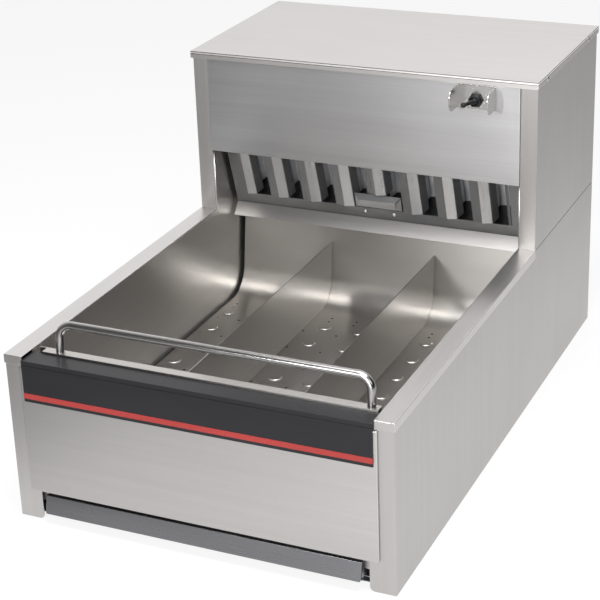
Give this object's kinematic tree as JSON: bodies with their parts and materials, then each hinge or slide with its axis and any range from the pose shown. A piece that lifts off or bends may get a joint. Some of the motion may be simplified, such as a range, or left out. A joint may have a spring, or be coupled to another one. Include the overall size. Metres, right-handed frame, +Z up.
{
  "type": "countertop chip warmer",
  "caption": "Open countertop warming station: sloped-back steel food pan with dividers in front, hood with blower, baffle filter and toggle switch behind.",
  "frame": {"origin": "middle of the overall box in X and Y, at the height of the counter that the side panels' feet stand on", "axes": "+X across the front to the user's right, +Y from the front to the rear, +Z up"},
  "size_m": [0.4676, 0.7615, 0.42],
  "materials": {
    "outer_steel": "brushed stainless sheet, satin",
    "liner_steel": "polished stainless sheet",
    "rod_steel": "polished stainless rod",
    "filter_steel": "plain stainless sheet",
    "galvanised": "galvanised sheet",
    "fixings": "zinc plated",
    "fascia_black": "black satin enamel",
    "stripe_red": "red satin enamel",
    "element": "heat darkened sheath",
    "motor": "dark grey paint",
    "bakelite": "moulded phenolic",
    "brass": "nickel washed brass",
    "rubber": "moulded rubber",
    "gland_plastic": "moulded nylon"
  },
  "bodies": {
    "cabinet": {"left_side_panel": "outer_steel", "right_side_panel": "outer_steel", "left_deck_cap": "outer_steel", "right_deck_cap": "outer_steel", "base_pan": "galvanised", "front_cross_rail": "outer_steel", "front_panel": "outer_steel", "fascia": "fascia_black", "fascia_stripe": "stripe_red", "guard_rail": "rod_steel", "guard_rail_nuts": "fixings", "left_bin_wall": "liner_steel", "right_bin_wall": "liner_steel", "food_pan": "liner_steel", "left_pan_rail": "galvanised", "right_pan_rail": "galvanised", "drip_ledge": "outer_steel", "left_tray_runner": "galvanised", "right_tray_runner": "galvanised", "hood_left_side": "outer_steel", "hood_right_side": "outer_steel", "hood_cover": "outer_steel", "cover_screws": "fixings", "access_panel": "outer_steel", "body_rear_panel": "outer_steel", "hood_rear_panel": "outer_steel", "rear_screws": "fixings", "filter_top_channel": "galvanised", "blower_deck": "galvanised", "blower_housing": "galvanised", "blower_motor": "motor", "air_duct": "galvanised", "upper_heating_element": "element", "lower_heating_element": "element", "element_flange": "fixings", "high_limit_switch": "bakelite", "control_shelf": "galvanised", "thermostat": "bakelite", "terminal_block": "bakelite", "switch_guard": "outer_steel", "toggle_switch": "bakelite", "switch_nut": "brass", "toggle_boot": "rubber", "cord_gland": "gland_plastic", "cord_gland_nut": "gland_plastic"},
    "filter": {"filter_frame": "filter_steel", "filter_front_baffles": "filter_steel", "filter_rear_baffles": "filter_steel", "filter_handle": "outer_steel", "filter_rivets": "fixings"},
    "crumb_tray": {"crumb_tray": "outer_steel"},
    "left_divider": {"left_divider": "liner_steel"},
    "right_divider": {"right_divider": "liner_steel"},
    "blower_rotor": {"blower_wheel": "galvanised", "motor_shaft": "rod_steel"},
    "toggle_lever": {"toggle_lever": "rubber"}
  },
  "joints": [
    {"name": "filter_lift", "type": "slide", "parent": "cabinet", "child": "filter", "axis": [0, -0.2957, 0.9553], "range_m": [0, 0.012]},
    {"name": "crumb_tray_slide", "type": "slide", "parent": "cabinet", "child": "crumb_tray", "axis": [0, -1, 0], "range_m": [0, 0.46]},
    {"name": "left_divider_lift", "type": "slide", "parent": "cabinet", "child": "left_divider", "axis": [0, 0, 1], "range_m": [0, 0.028]},
    {"name": "right_divider_lift", "type": "slide", "parent": "cabinet", "child": "right_divider", "axis": [0, 0, 1], "range_m": [0, 0.028]},
    {"name": "blower_spin", "type": "hinge", "parent": "cabinet", "child": "blower_rotor", "pos_m": [0, 0.27175, 0.29], "axis": [1, 0, 0], "continuous": true},
    {"name": "toggle_switch_throw", "type": "hinge", "parent": "cabinet", "child": "toggle_lever", "pos_m": [0.154, 0.09455, 0.3915], "axis": [0, 0, 1], "range_deg": [0, 44]}
  ]
}
